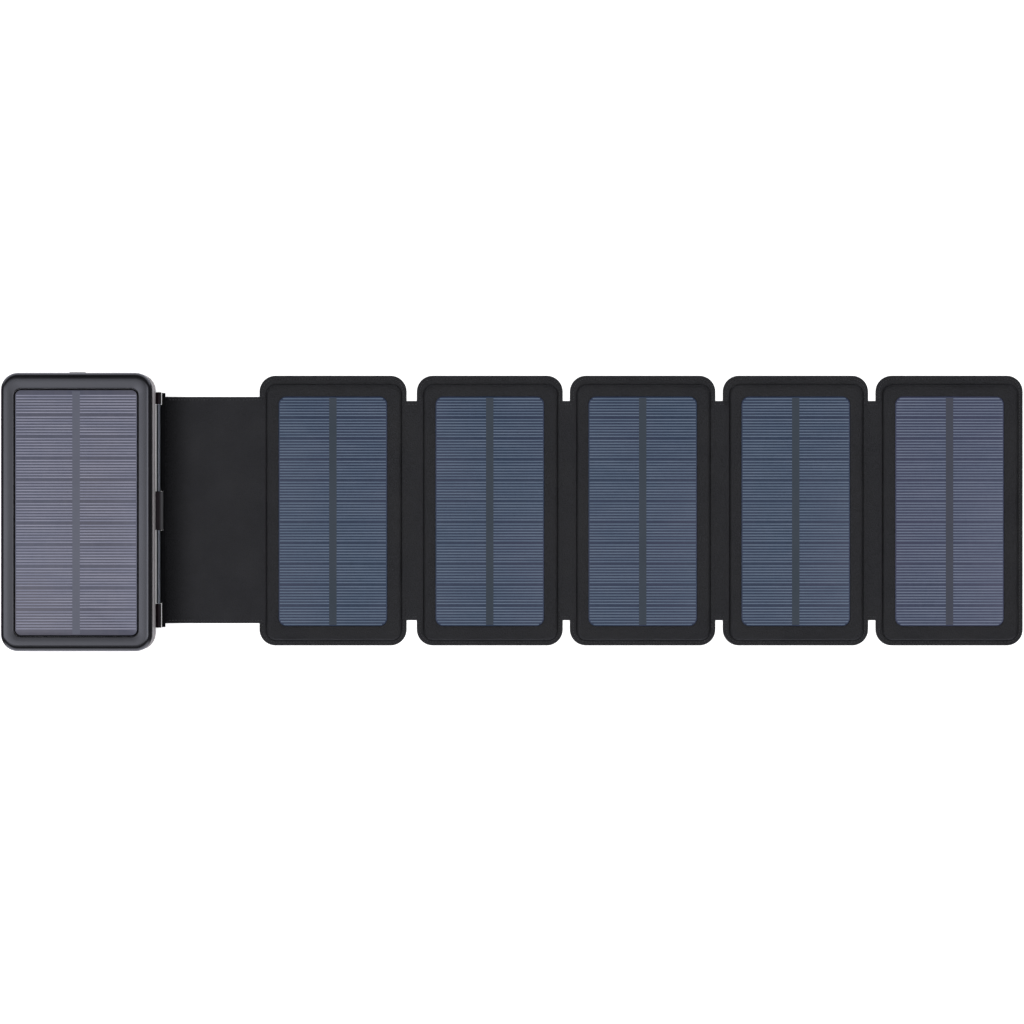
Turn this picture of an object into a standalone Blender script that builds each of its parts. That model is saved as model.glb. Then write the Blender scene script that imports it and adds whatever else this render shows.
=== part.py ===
"""Solar power bank with a fold-out blanket of five leather-covered solar panels.

Metres, +Z up. The bank lies on its back with its own solar cell facing up, and the
blanket is opened out flat along +X. The origin is below the middle of the whole object.
"""

import math

import bmesh
import bpy

# Gaps and finish
GAP = 0.0003
SHEET_GAP = 0.00015
ARC_STEPS = 6
ROUND_SIDES = 20

# Power bank
BANK_WIDTH = 0.0845
BANK_LENGTH = 0.1553
BANK_HEIGHT = 0.025
BANK_CORNER = 0.0095
BANK_EDGE = 0.003
SHELL_WALL = 0.002
BEZEL_WALL = 0.0035
PARTING = 0.014
LIP_DEPTH = 0.002
FACE_THICKNESS = 0.0024

# Solar cell in the bank's front
BANK_CELL_WIDTH = 0.0679
BANK_CELL_LENGTH = 0.1365
BANK_CELL_CORNER = 0.0033
BANK_CELL_SHIFT = -0.0004
BANK_GROOVE = 0.0008
BOARD_LIP = 0.0006
BANK_BOARD_THICKNESS = 0.0012

# Sockets and button in the bank's +Y end
SOCKET_Z = 0.00835
SOCKET_FRONT = 0.0003
USB_A_SIZE = (0.0131, 0.014, 0.0057)
USB_A_OFFSET = 0.022
USB_A_TONGUE = (0.0108, 0.0096, 0.0016)
USB_C_SIZE = (0.0089, 0.0076, 0.0032)
USB_C_TONGUE = (0.0065, 0.0052, 0.0007)
SOCKET_SKIN = 0.0004
USB_A_TONGUE_RAISE = 0.0008
SOCKET_ROUNDING = 0.12
BUTTON_SIZE = (0.009, 0.004)
BUTTON_Z = 0.018
BUTTON_PROUD = 0.0004
BUTTON_FLANGE = 0.0013
BUTTON_FLANGE_MARGIN = 0.0009
BUTTON_ROUNDING = 0.45

# Inside of the bank; a chip is its name, its place along X, half its width and its height
POUCH_SIZE = (0.071, 0.058, 0.017)
POUCH_CENTRES = (-0.041, 0.019)
POUCH_SHIFT = -0.0015
POUCH_LOW = 0.0031
POUCH_EDGE = 0.002
PCB_SIZE = (0.066, 0.0215, 0.0012)
PCB_END = 0.0728
CHIPS = (("inductor", -0.020, 0.004, 0.0042), ("chip", 0.021, 0.003, 0.0012))
SWITCH_SIZE = (0.006, 0.0045, 0.0068)
SCREW_PLACES = (-0.032, 0.036)
SCREW_Z = 0.006
SCREW_SHANK = 0.0007
SCREW_HEAD = 0.0013
SCREW_HEAD_HEIGHT = 0.0008
SCREW_COVER = 0.0006

# Hinge between the bank and the flap; its axis runs along Y
HINGE_OFFSET = 0.0016
HINGE_Z = 0.0031
PIN_RADIUS = 0.0006
BORE_RADIUS = 0.0009
KNUCKLE_RADIUS = 0.00135
LUG_RADIUS = 0.0015
MIDDLE_LUG_RADIUS = 0.0028
LUG_NECK = (0.0024, 0.0048)
TOP_LUG = (0.0607, 0.0674)
MIDDLE_LUG = (-0.0101, 0.0115)
BOTTOM_LUG = (-0.0651, -0.0516)
BRACKET_THICKNESS = 0.0013
BRACKET_TOP = 0.0076
BAR_HALF_LENGTH = 0.0659
BAR_START = 0.0019
BAR_WIDTH = 0.0018
BAR_SKIN = 0.0005
BAR_HALF_HEIGHT = 0.00125

# Leather of the flap and of the strips between panels
LEATHER = 0.0012
FLAP_LENGTH = 0.0566
FLAP_SEGMENTS = 3
FLAP_HALF = 0.0638
FLAP_SHIFT = 0.0011
FLAP_LEVEL = 0.0005
FLAP_DROP = 0.0075
PINCHED_HALF = 0.00045
STRIP_HALF = 0.0618

# Panels, from the flap outwards, and the gaps after panels 1 to 4
PANEL_WIDTHS = (0.0829, 0.08225, 0.082, 0.0819, 0.0829)
FOLD_GAPS = (0.00575, 0.004, 0.0042, 0.0042)
FACING_FOLDS = (1, 3)
PANEL_LENGTH = 0.152
PANEL_SHIFT = 0.0008
PANEL_CORNER = 0.009
PANEL_THICKNESS = 0.00315
BACK_THICKNESS = 0.0005
PAD_LEFT = 0.0037
PAD_RIGHT = 0.0027
PAD_TOP = 0.005
PAD_BOTTOM = 0.0028
PAD_CORNER = 0.006
PAD_EDGE = 0.0009
PAD_SKIN = 0.0009
PAD_ROOF = 0.00065
WINDOW_WIDTH = 0.0613
WINDOW_LENGTH = 0.1294
WINDOW_CORNER = 0.0045
WINDOW_SHIFT = -0.0004
CELL_MARGIN = 0.0022
STIFFENER_THICKNESS = 0.0008
CELL_THICKNESS = 0.00075
FILM_THICKNESS = 0.00045
LEAD_SIZE = (0.0018, 0.120, 0.0007)
LEAD_INSET = 0.0055

# Places that follow from the sizes above
TOTAL = BANK_WIDTH + HINGE_OFFSET + FLAP_LENGTH + sum(PANEL_WIDTHS) + sum(FOLD_GAPS)
BANK_LEFT = -TOTAL / 2
BANK_X = BANK_LEFT + BANK_WIDTH / 2
BANK_RIGHT = BANK_LEFT + BANK_WIDTH
HINGE_X = BANK_RIGHT + HINGE_OFFSET
FLAP_END = HINGE_X + FLAP_LENGTH
BANK_TOP_Y = BANK_LENGTH / 2

# Colour, roughness and metallic value of each finish
FINISHES = {
    "bank_plastic": ((0.052, 0.052, 0.056), 0.38, 0.0),
    "button_plastic": ((0.030, 0.030, 0.032), 0.45, 0.0),
    "cell_blue": ((0.045, 0.066, 0.105), 0.30, 0.1),
    "bank_cell": ((0.105, 0.110, 0.145), 0.30, 0.1),
    "clear_cover": ((0.110, 0.130, 0.170), 0.12, 0.0),
    "leather": ((0.024, 0.024, 0.027), 0.62, 0.0),
    "board_green": ((0.020, 0.110, 0.050), 0.50, 0.0),
    "fibre_board": ((0.180, 0.160, 0.120), 0.80, 0.0),
    "pouch_foil": ((0.550, 0.560, 0.580), 0.35, 0.9),
    "steel": ((0.520, 0.530, 0.550), 0.28, 1.0),
    "black_steel": ((0.018, 0.016, 0.018), 0.35, 0.8),
    "lead_red": ((0.350, 0.020, 0.020), 0.50, 0.0),
}


def clear_scene():
    for obj in list(bpy.data.objects):
        bpy.data.objects.remove(obj, do_unlink=True)


def new_collection(name):
    collection = bpy.data.collections.new(name)
    bpy.context.scene.collection.children.link(collection)
    return collection


def show_as_part(obj, finish):
    """Give the object its own material and put it with the parts."""
    colour, roughness, metallic = FINISHES[finish]
    material = bpy.data.materials.new(f"{obj.name}_{finish}")
    material.use_nodes = True
    shader = material.node_tree.nodes["Principled BSDF"]
    shader.inputs["Base Color"].default_value = (*colour, 1.0)
    shader.inputs["Roughness"].default_value = roughness
    shader.inputs["Metallic"].default_value = metallic
    obj.data.materials.clear()
    obj.data.materials.append(material)
    parts.objects.link(obj)
    return obj


def set_as_tool(obj):
    """Put the object with the cutters, hidden from a render."""
    obj.hide_render = True
    obj.display_type = "WIRE"
    cutters.objects.link(obj)
    return obj


def combine(obj, tool, operation):
    if tool.name not in cutters.objects:
        set_as_tool(tool)
    modifier = obj.modifiers.new(f"{operation.lower()}_{tool.name}", "BOOLEAN")
    modifier.operation = operation
    modifier.object = tool


def cut(obj, *tools):
    for tool in tools:
        combine(obj, tool, "DIFFERENCE")


def join(obj, *tools):
    for tool in tools:
        combine(obj, tool, "UNION")


def mesh_object(name, mesh_maker):
    """An unlinked object whose mesh is what mesh_maker leaves in a new bmesh."""
    mesh = bpy.data.meshes.new(name)
    bm = bmesh.new()
    mesh_maker(bm)
    bmesh.ops.recalc_face_normals(bm, faces=bm.faces)
    bm.to_mesh(mesh)
    bm.free()
    return bpy.data.objects.new(name, mesh)


def box(name, low, high):
    def make(bm):
        bmesh.ops.create_cube(bm, size=1.0)
        size = [high[axis] - low[axis] for axis in range(3)]
        bmesh.ops.scale(bm, vec=size, verts=bm.verts)

    obj = mesh_object(name, make)
    obj.location = [(low[axis] + high[axis]) / 2 for axis in range(3)]
    return obj


def rod_along_y(name, radius, x, z, low_y, high_y):
    def make(bm):
        bmesh.ops.create_cone(
            bm,
            cap_ends=True,
            segments=ROUND_SIDES,
            radius1=radius,
            radius2=radius,
            depth=high_y - low_y,
        )

    obj = mesh_object(name, make)
    obj.rotation_euler.x = math.pi / 2
    obj.location = (x, (low_y + high_y) / 2, z)
    return obj


def arc(centre, radius, start, end, steps=ARC_STEPS):
    """Points along an arc, with its ends given in degrees."""
    turns = [math.radians(start + (end - start) * i / steps) for i in range(steps + 1)]
    return [(centre[0] + radius * math.cos(t), centre[1] + radius * math.sin(t)) for t in turns]


def rounded_outline(width, length, radius, left_tab=0.0, right_tab=0.0, tab_half=STRIP_HALF):
    """A rounded rectangle round the origin, with a square tab on its left or right side."""
    half_x = width / 2
    half_y = length / 2
    inner_x = half_x - radius
    inner_y = half_y - radius
    points = arc((inner_x, inner_y), radius, 0, 90)
    points += arc((-inner_x, inner_y), radius, 90, 180)
    if left_tab:
        out = -half_x - left_tab
        points += [(-half_x, tab_half), (out, tab_half), (out, -tab_half), (-half_x, -tab_half)]
    points += arc((-inner_x, -inner_y), radius, 180, 270)
    points += arc((inner_x, -inner_y), radius, 270, 360)
    if right_tab:
        out = half_x + right_tab
        points += [(half_x, -tab_half), (out, -tab_half), (out, tab_half), (half_x, tab_half)]
    return points


def solid_of(name, outline, thickness):
    """A closed solid of an outline in local X and Y, with half its thickness on each side."""
    curve = bpy.data.curves.new(name, "CURVE")
    curve.dimensions = "2D"
    curve.fill_mode = "BOTH"
    curve.extrude = thickness / 2
    spline = curve.splines.new("POLY")
    spline.points.add(len(outline) - 1)
    for point, (x, y) in zip(spline.points, outline):
        point.co = (x, y, 0.0, 1.0)
    spline.use_cyclic_u = True
    guide = bpy.data.objects.new(f"{name}_guide", curve)
    bpy.context.scene.collection.objects.link(guide)
    graph = bpy.context.evaluated_depsgraph_get()
    mesh = bpy.data.meshes.new_from_object(guide.evaluated_get(graph))
    solid = bpy.data.objects.new(name, mesh)
    solid.matrix_world = guide.matrix_world
    bpy.data.objects.remove(guide)
    bpy.data.curves.remove(curve)
    bm = bmesh.new()
    bm.from_mesh(mesh)
    bmesh.ops.remove_doubles(bm, verts=bm.verts, dist=1e-6)
    flat = math.radians(0.5)
    bmesh.ops.dissolve_limit(bm, angle_limit=flat, verts=bm.verts, edges=bm.edges)
    bmesh.ops.recalc_face_normals(bm, faces=bm.faces)
    bm.to_mesh(mesh)
    bm.free()
    return solid


def slab(name, outline, low, high, x=0.0, y=0.0):
    """A solid of a level outline between two heights."""
    solid = solid_of(name, outline, high - low)
    solid.location = (x, y, (low + high) / 2)
    return solid


def bar_along_y(name, outline, low_y, high_y):
    """A solid of an outline drawn in X and Z, between two places along Y."""
    solid = solid_of(name, outline, high_y - low_y)
    solid.rotation_euler.x = math.pi / 2
    solid.location.y = (low_y + high_y) / 2
    return solid


def round_rim(solid, side, radius, segments):
    """Round the rim of a slab, where side is 1 for its top and -1 for its bottom."""
    bm = bmesh.new()
    bm.from_mesh(solid.data)
    level = max(side * vert.co.z for vert in bm.verts)
    rim = [e for e in bm.edges if all(abs(side * v.co.z - level) < 1e-7 for v in e.verts)]
    bmesh.ops.bevel(bm, geom=rim, offset=radius, segments=segments, profile=0.5, affect="EDGES")
    bm.to_mesh(solid.data)
    bm.free()
    return solid


def bevel(obj, width, segments):
    modifier = obj.modifiers.new("rounded_edges", "BEVEL")
    modifier.width = width
    modifier.segments = segments
    modifier.limit_method = "ANGLE"


def rectangle(left, right, low, high):
    return [(left, low), (right, low), (right, high), (left, high)]


def bank_outline(inset=0.0):
    width = BANK_WIDTH - 2 * inset
    length = BANK_LENGTH - 2 * inset
    return rounded_outline(width, length, BANK_CORNER - inset)


def lug_slots():
    """One cutter for each lug's way through the bank's side wall."""
    slots = []
    for name, ends in (("top", TOP_LUG), ("middle", MIDDLE_LUG), ("bottom", BOTTOM_LUG)):
        low = (BANK_RIGHT - 2 * SHELL_WALL, ends[0] - GAP, LUG_NECK[0] - GAP)
        high = (BANK_RIGHT + SHELL_WALL, ends[1] + GAP, LUG_NECK[1] + GAP)
        slots.append(box(f"{name}_lug_slot", low, high))
    return slots


def socket_hole(name, x, size):
    half_x = size[0] / 2 + GAP
    half_z = size[2] / 2 + GAP
    low = (x - half_x, BANK_TOP_Y - 2 * BEZEL_WALL, SOCKET_Z - half_z)
    high = (x + half_x, BANK_TOP_Y + SHELL_WALL, SOCKET_Z + half_z)
    return box(name, low, high)


def make_rear_shell():
    shell = slab("bank_rear_shell", bank_outline(), 0.0, PARTING, BANK_X)
    round_rim(shell, -1, BANK_EDGE, 3)
    hollow_outline = bank_outline(SHELL_WALL)
    hollow = slab("rear_hollow", hollow_outline, SHELL_WALL, PARTING + SHELL_WALL, BANK_X)
    cut(shell, hollow, *lug_slots())
    cut(shell, socket_hole("usb_a_hole_1", BANK_X - USB_A_OFFSET, USB_A_SIZE))
    cut(shell, socket_hole("usb_a_hole_2", BANK_X + USB_A_OFFSET, USB_A_SIZE))
    cut(shell, socket_hole("usb_c_hole", BANK_X, USB_C_SIZE))
    cut(shell, *[bracket_screw_hole(y) for y in SCREW_PLACES])
    show_as_part(shell, "bank_plastic")


def make_front_bezel():
    """The upper half of the case, with a lip that goes down inside the rear shell."""
    bezel = slab("bank_front_bezel", bank_outline(), PARTING + GAP, BANK_HEIGHT, BANK_X)
    round_rim(bezel, 1, BANK_EDGE, 4)
    lip_low = PARTING - LIP_DEPTH
    lip_outline = bank_outline(SHELL_WALL + GAP)
    join(bezel, slab("bezel_lip", lip_outline, lip_low, PARTING + 2 * GAP, BANK_X))
    roof = BANK_HEIGHT - FACE_THICKNESS
    cut(bezel, slab("bezel_hollow", bank_outline(BEZEL_WALL), lip_low - GAP, roof, BANK_X))
    window_width = BANK_CELL_WIDTH + 2 * BANK_GROOVE
    window_length = BANK_CELL_LENGTH + 2 * BANK_GROOVE
    window = rounded_outline(window_width, window_length, BANK_CELL_CORNER + BANK_GROOVE)
    high = BANK_HEIGHT + BANK_EDGE
    cut(bezel, slab("bezel_window", window, PARTING, high, BANK_X, BANK_CELL_SHIFT))
    cut(bezel, button_shape("button_slot", GAP, BANK_TOP_Y - 2 * BEZEL_WALL, BANK_TOP_Y + GAP))
    show_as_part(bezel, "bank_plastic")


def button_shape(name, margin, low_y, high_y):
    """A bar with rounded ends along Y, standing in the button's place."""
    width = BUTTON_SIZE[0] + 2 * margin
    height = BUTTON_SIZE[1] + 2 * margin
    radius = height * BUTTON_ROUNDING
    outline = [(BANK_X + x, BUTTON_Z + z) for x, z in rounded_outline(width, height, radius)]
    return bar_along_y(name, outline, low_y, high_y)


def make_button():
    inner_wall = BANK_TOP_Y - BEZEL_WALL
    cap_back = inner_wall - 2 * GAP
    button = button_shape("power_button", 0.0, cap_back, BANK_TOP_Y + BUTTON_PROUD)
    flange_back = inner_wall - GAP - BUTTON_FLANGE
    margin = BUTTON_FLANGE_MARGIN
    join(button, button_shape("button_flange", margin, flange_back, inner_wall - GAP))
    show_as_part(button, "button_plastic")


def make_bank_cell():
    top = BANK_HEIGHT - FACE_THICKNESS - GAP
    width = BANK_CELL_WIDTH + 2 * (BANK_GROOVE + BOARD_LIP)
    length = BANK_CELL_LENGTH + 2 * (BANK_GROOVE + BOARD_LIP)
    board = rounded_outline(width, length, BANK_CELL_CORNER)
    low = top - BANK_BOARD_THICKNESS
    cell = slab("bank_solar_board", board, low, top, BANK_X, BANK_CELL_SHIFT)
    show_as_part(cell, "bank_cell")
    cover = rounded_outline(BANK_CELL_WIDTH, BANK_CELL_LENGTH, BANK_CELL_CORNER)
    cover_top = BANK_HEIGHT - GAP / 3
    glass = slab("bank_solar_cover", cover, top + GAP, cover_top, BANK_X, BANK_CELL_SHIFT)
    show_as_part(glass, "clear_cover")


def make_pouches():
    for number, y in enumerate(POUCH_CENTRES, 1):
        half_x = POUCH_SIZE[0] / 2
        half_y = POUCH_SIZE[1] / 2
        x = BANK_X + POUCH_SHIFT
        low = (x - half_x, y - half_y, POUCH_LOW)
        high = (x + half_x, y + half_y, POUCH_LOW + POUCH_SIZE[2])
        pouch = box(f"battery_pouch_{number}", low, high)
        bevel(pouch, POUCH_EDGE, 2)
        show_as_part(pouch, "pouch_foil")


def make_circuit_board():
    low_z = SOCKET_Z + USB_A_SIZE[2] / 2 + GAP
    half_x = PCB_SIZE[0] / 2
    low = (BANK_X - half_x, PCB_END - PCB_SIZE[1], low_z)
    high = (BANK_X + half_x, PCB_END, low_z + PCB_SIZE[2])
    board = box("circuit_board", low, high)
    y = PCB_END - PCB_SIZE[1] / 2
    top = high[2]
    for name, x, half, height in CHIPS:
        chip_low = (BANK_X + x - half, y - half, low_z + PCB_SIZE[2] / 2)
        chip_high = (BANK_X + x + half, y + half, top + height)
        join(board, box(name, chip_low, chip_high))
    show_as_part(board, "board_green")
    switch_back = BANK_TOP_Y - BEZEL_WALL - 2 * GAP - BUTTON_FLANGE - 2 * GAP - SWITCH_SIZE[1]
    switch_half = SWITCH_SIZE[0] / 2
    switch_low = (BANK_X - switch_half, switch_back, top + GAP)
    switch_high = (BANK_X + switch_half, switch_back + SWITCH_SIZE[1], top + GAP + SWITCH_SIZE[2])
    show_as_part(box("button_switch", switch_low, switch_high), "black_steel")


def make_socket(name, x, size, tongue_size, tongue_z):
    """A metal socket that is open towards +Y, with its contact tongue."""
    front = BANK_TOP_Y - SOCKET_FRONT
    back = front - size[1]
    half_x = size[0] / 2
    half_z = size[2] / 2
    socket = box(name, (x - half_x, back, SOCKET_Z - half_z), (x + half_x, front, SOCKET_Z + half_z))
    bevel(socket, size[2] * SOCKET_ROUNDING, 2)
    hollow_x = half_x - SOCKET_SKIN
    hollow_z = half_z - SOCKET_SKIN
    hollow_low = (x - hollow_x, back + 2 * SOCKET_SKIN, SOCKET_Z - hollow_z)
    hollow_high = (x + hollow_x, front + SHELL_WALL, SOCKET_Z + hollow_z)
    cut(socket, box(f"{name}_hollow", hollow_low, hollow_high))
    tongue_x = tongue_size[0] / 2
    low_z = SOCKET_Z + tongue_z - tongue_size[2] / 2
    tongue_low = (x - tongue_x, back + SOCKET_SKIN, low_z)
    tongue_high = (x + tongue_x, back + SOCKET_SKIN + tongue_size[1], low_z + tongue_size[2])
    join(socket, box(f"{name}_tongue", tongue_low, tongue_high))
    show_as_part(socket, "steel")


def make_sockets():
    for name, x in (("usb_a_socket_1", -USB_A_OFFSET), ("usb_a_socket_2", USB_A_OFFSET)):
        make_socket(name, BANK_X + x, USB_A_SIZE, USB_A_TONGUE, USB_A_TONGUE_RAISE)
    make_socket("usb_c_socket", BANK_X, USB_C_SIZE, USB_C_TONGUE, 0.0)


def lug_outline(radius):
    """A lug seen along Y: a neck through the wall, then a round end about the hinge axis."""
    face = BANK_RIGHT + GAP
    reach = math.sqrt(max(radius**2 - (HINGE_X - face) ** 2, 0.0))
    if radius > HINGE_X - face + LUG_RADIUS:
        round_end = [(face, HINGE_Z - radius)] + arc((HINGE_X, HINGE_Z), radius, -90, 90, 12)
        round_end.append((face, HINGE_Z + radius))
    else:
        corner = math.degrees(math.atan2(reach, face - HINGE_X))
        round_end = arc((HINGE_X, HINGE_Z), radius, -corner, corner, 14)
    root = bracket_inner_face() - BRACKET_THICKNESS / 2
    low, high = LUG_NECK
    return [(root, low), (face, low)] + round_end + [(face, high), (root, high)]


def bracket_inner_face():
    """The bracket's face towards the side wall."""
    return BANK_RIGHT - SHELL_WALL - 1.5 * GAP


def screw_rod(name, radius, low_x, high_x, y):
    rod = rod_along_y(name, radius, 0.0, SCREW_Z, low_x, high_x)
    rod.rotation_euler = (math.pi / 2, 0.0, math.pi / 2)
    rod.location = ((low_x + high_x) / 2, y, SCREW_Z)
    return rod


def screw_hole_name(y):
    return f"screw_hole_{y * 1000:.0f}"


def bracket_screw_hole(y):
    low_x = bracket_inner_face() - 3 * BRACKET_THICKNESS
    return screw_rod(screw_hole_name(y), SCREW_SHANK + GAP, low_x, BANK_RIGHT - SCREW_COVER, y)


def make_bracket():
    """The plate inside the side wall, whose three lugs hold the hinge pin."""
    inner = bracket_inner_face()
    low = (inner - BRACKET_THICKNESS, BOTTOM_LUG[0], LUG_NECK[0])
    bracket = box("hinge_bracket", low, (inner, TOP_LUG[1], BRACKET_TOP))
    for name, radius, ends in (
        ("top_lug", LUG_RADIUS, TOP_LUG),
        ("middle_lug", MIDDLE_LUG_RADIUS, MIDDLE_LUG),
        ("bottom_lug", LUG_RADIUS, BOTTOM_LUG),
    ):
        join(bracket, bar_along_y(name, lug_outline(radius), *ends))
    cut(bracket, rod_along_y("pin_bore", BORE_RADIUS, HINGE_X, HINGE_Z, -BANK_TOP_Y, BANK_TOP_Y))
    cut(bracket, *[bpy.data.objects[screw_hole_name(y)] for y in SCREW_PLACES])
    show_as_part(bracket, "black_steel")


def make_bracket_screws():
    inner = bracket_inner_face()
    head_end = inner - BRACKET_THICKNESS - GAP
    head_start = head_end - SCREW_HEAD_HEIGHT
    shank_start = head_end - SCREW_HEAD_HEIGHT / 2
    tip = BANK_RIGHT - SCREW_COVER - GAP
    for number, y in enumerate(SCREW_PLACES, 1):
        screw = screw_rod(f"hinge_screw_{number}", SCREW_SHANK, shank_start, tip, y)
        join(screw, screw_rod(f"screw_head_{number}", SCREW_HEAD, head_start, head_end, y))
        show_as_part(screw, "steel")


def make_pin():
    ends = (BOTTOM_LUG[0] + GAP, TOP_LUG[1] - GAP)
    show_as_part(rod_along_y("hinge_pin", PIN_RADIUS, HINGE_X, HINGE_Z, *ends), "steel")


def make_knuckle(name, low_y, high_y):
    """A tube that turns on the pin, with the leaf that goes into the flap's edge bar."""
    knuckle = rod_along_y(name, KNUCKLE_RADIUS, HINGE_X, HINGE_Z, low_y, high_y)
    leaf_low = (HINGE_X + BORE_RADIUS + SHEET_GAP, low_y + SHEET_GAP, HINGE_Z - BAR_SKIN / 2)
    leaf_high = (bar_left() + 2 * BAR_SKIN, high_y - SHEET_GAP, HINGE_Z + BAR_SKIN / 2)
    join(knuckle, box(f"{name}_leaf", leaf_low, leaf_high))
    bore = rod_along_y(f"{name}_bore", BORE_RADIUS, HINGE_X, HINGE_Z, low_y - GAP, high_y + GAP)
    cut(knuckle, bore)
    show_as_part(knuckle, "steel")


def bar_left():
    return HINGE_X + BAR_START


def make_edge_bar():
    """The channel along the flap's edge, cut away round the middle lug and the leaves."""
    left = bar_left()
    right = left + BAR_WIDTH
    inside = BAR_HALF_HEIGHT - BAR_SKIN
    outline = [
        (left, HINGE_Z - BAR_HALF_HEIGHT),
        (right, HINGE_Z - BAR_HALF_HEIGHT),
        (right, HINGE_Z - inside),
        (left + BAR_SKIN, HINGE_Z - inside),
        (left + BAR_SKIN, HINGE_Z + inside),
        (right, HINGE_Z + inside),
        (right, HINGE_Z + BAR_HALF_HEIGHT),
        (left, HINGE_Z + BAR_HALF_HEIGHT),
    ]
    low_y = FLAP_SHIFT - BAR_HALF_LENGTH
    bar = bar_along_y("flap_edge_bar", outline, low_y, FLAP_SHIFT + BAR_HALF_LENGTH)
    clear = MIDDLE_LUG_RADIUS + GAP
    ends = (MIDDLE_LUG[0] - SHEET_GAP, MIDDLE_LUG[1] + SHEET_GAP)
    cut(bar, rod_along_y("middle_lug_clearance", clear, HINGE_X, HINGE_Z, *ends))
    for name, low_y, high_y in knuckles():
        slot_low = (HINGE_X, low_y, HINGE_Z - BAR_SKIN / 2 - GAP)
        slot_high = (left + BAR_SKIN + SHEET_GAP, high_y, HINGE_Z + BAR_SKIN / 2 + GAP)
        cut(bar, box(f"{name}_slot", slot_low, slot_high))
    show_as_part(bar, "black_steel")


def knuckles():
    """Name and ends of the two tubes between the three lugs."""
    upper = ("hinge_knuckle_upper", MIDDLE_LUG[1] + SHEET_GAP, TOP_LUG[0] - SHEET_GAP)
    lower = ("hinge_knuckle_lower", BOTTOM_LUG[1] + SHEET_GAP, MIDDLE_LUG[0] - SHEET_GAP)
    return upper, lower


def make_flap():
    """Three segments of leather; the first climbs to the edge bar and the rest lie flat."""
    step = FLAP_LENGTH / FLAP_SEGMENTS
    edge = bar_left() + 2 * BAR_SKIN + GAP
    half = PINCHED_HALF
    level = bar_left() + BAR_WIDTH + FLAP_LEVEL
    end = HINGE_X + step - SHEET_GAP
    first = [
        (edge, HINGE_Z - half),
        (level, HINGE_Z - half),
        (level + FLAP_DROP, 0.0),
        (end, 0.0),
        (end, LEATHER),
        (level + FLAP_DROP, LEATHER),
        (level, HINGE_Z + half),
        (edge, HINGE_Z + half),
    ]
    ends = (FLAP_SHIFT - FLAP_HALF, FLAP_SHIFT + FLAP_HALF)
    show_as_part(bar_along_y("flap_leather_a", first, *ends), "leather")
    for name, number in (("flap_leather_b", 1), ("flap_leather_c", 2)):
        left = HINGE_X + number * step + SHEET_GAP
        right = HINGE_X + (number + 1) * step - SHEET_GAP
        segment = bar_along_y(name, rectangle(left, right, 0.0, LEATHER), *ends)
        show_as_part(segment, "leather")


def panel_spans():
    """Left and right outline of each panel, from the flap outwards."""
    spans = []
    left = FLAP_END
    for width, gap in zip(PANEL_WIDTHS, (*FOLD_GAPS, 0.0)):
        spans.append((left, left + width))
        left += width + gap
    return spans


def make_strips():
    """The leather strips in the folds where two panels close face to face."""
    spans = panel_spans()
    ends = (PANEL_SHIFT - STRIP_HALF, PANEL_SHIFT + STRIP_HALF)
    for fold in FACING_FOLDS:
        left = spans[fold - 1][1] + SHEET_GAP
        right = spans[fold][0] - SHEET_GAP
        outline = rectangle(left, right, 0.0, LEATHER)
        strip = bar_along_y(f"fold_strip_{fold}{fold + 1}", outline, *ends)
        show_as_part(strip, "leather")


def tab_beside(fold):
    """Width of the half strip that a cover carries into this fold, or nothing."""
    if fold in FACING_FOLDS or not 0 < fold < len(PANEL_WIDTHS):
        return 0.0
    return FOLD_GAPS[fold - 1] / 2 - SHEET_GAP


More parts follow.
